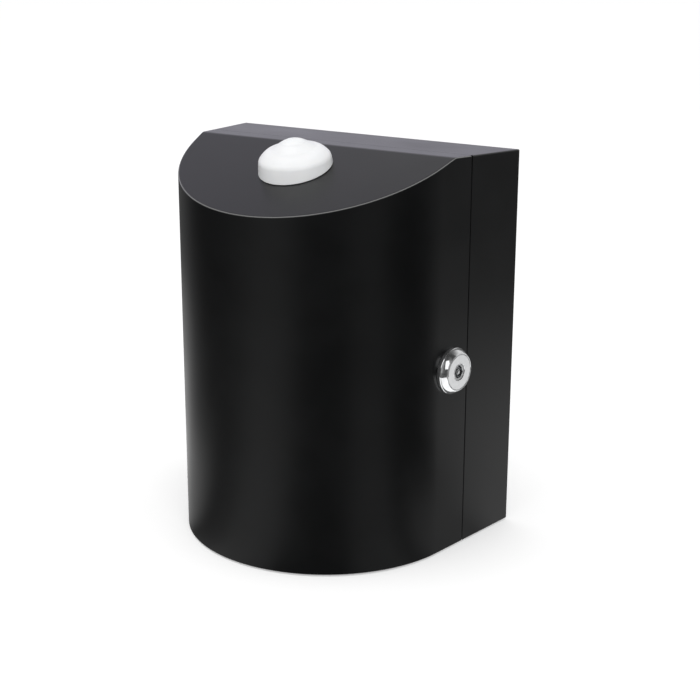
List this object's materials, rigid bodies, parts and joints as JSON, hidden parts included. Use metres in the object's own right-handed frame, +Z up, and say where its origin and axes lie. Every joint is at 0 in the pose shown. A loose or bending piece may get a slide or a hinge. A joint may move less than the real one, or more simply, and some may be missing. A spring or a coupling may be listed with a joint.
{
  "type": "countertop wipes dispenser",
  "caption": "Steel cabinet with a round, side-hinged front door, a cam lock and a white nozzle on its sloped top for pulling out wipes.",
  "frame": {"origin": "middle of the footprint, on the surface that the feet stand on", "axes": "+Z up, the flat back faces +Y, the round front faces -Y, the lock is on the +X side"},
  "size_m": [0.21, 0.1536, 0.2618],
  "materials": {
    "powder_coat": "satin black powder coat on sheet steel",
    "black_rubber": "matte",
    "plated_steel": "zinc plated",
    "hinge_steel": "black coated steel",
    "bezel_chrome": "polished sides, satin face",
    "cast_zinc": "plated zinc casting",
    "plug_chrome": "satin chrome",
    "white_plastic": "smooth white moulded plastic",
    "nut_plastic": "matte moulded plastic",
    "white_silicone": "soft translucent white"
  },
  "bodies": {
    "housing": {"rear_housing": "powder_coat", "base_plate": "powder_coat", "rubber_feet": "black_rubber", "lock_keeper": "plated_steel", "housing_hinge_leaf": "hinge_steel", "hinge_pin": "plated_steel"},
    "door": {"door_wrap": "powder_coat", "door_top": "powder_coat", "door_hinge_leaf": "hinge_steel", "lock_bezel": "bezel_chrome", "lock_barrel": "cast_zinc", "lock_washer": "plated_steel", "lock_nut": "plated_steel", "nozzle_cap": "white_plastic", "nozzle_gasket": "black_rubber", "nozzle_nut": "nut_plastic", "nozzle_insert": "white_silicone", "insert_ring": "nut_plastic"},
    "lock_cylinder": {"lock_plug": "plug_chrome", "lock_centre_pin": "plug_chrome", "lock_cam": "plated_steel", "cam_washer": "plated_steel", "cam_screw": "plated_steel"}
  },
  "joints": [
    {"name": "door_swing", "type": "hinge", "parent": "housing", "child": "door", "pos_m": [-0.09654, 0.02779, 0.1264], "axis": [0, 0, -1], "range_deg": [0, 110]},
    {"name": "lock_turn", "type": "hinge", "parent": "door", "child": "lock_cylinder", "pos_m": [0.09381, 0.01203, 0.1212], "axis": [-0.9854, 0.1702, 0], "range_deg": [0, 90]}
  ]
}
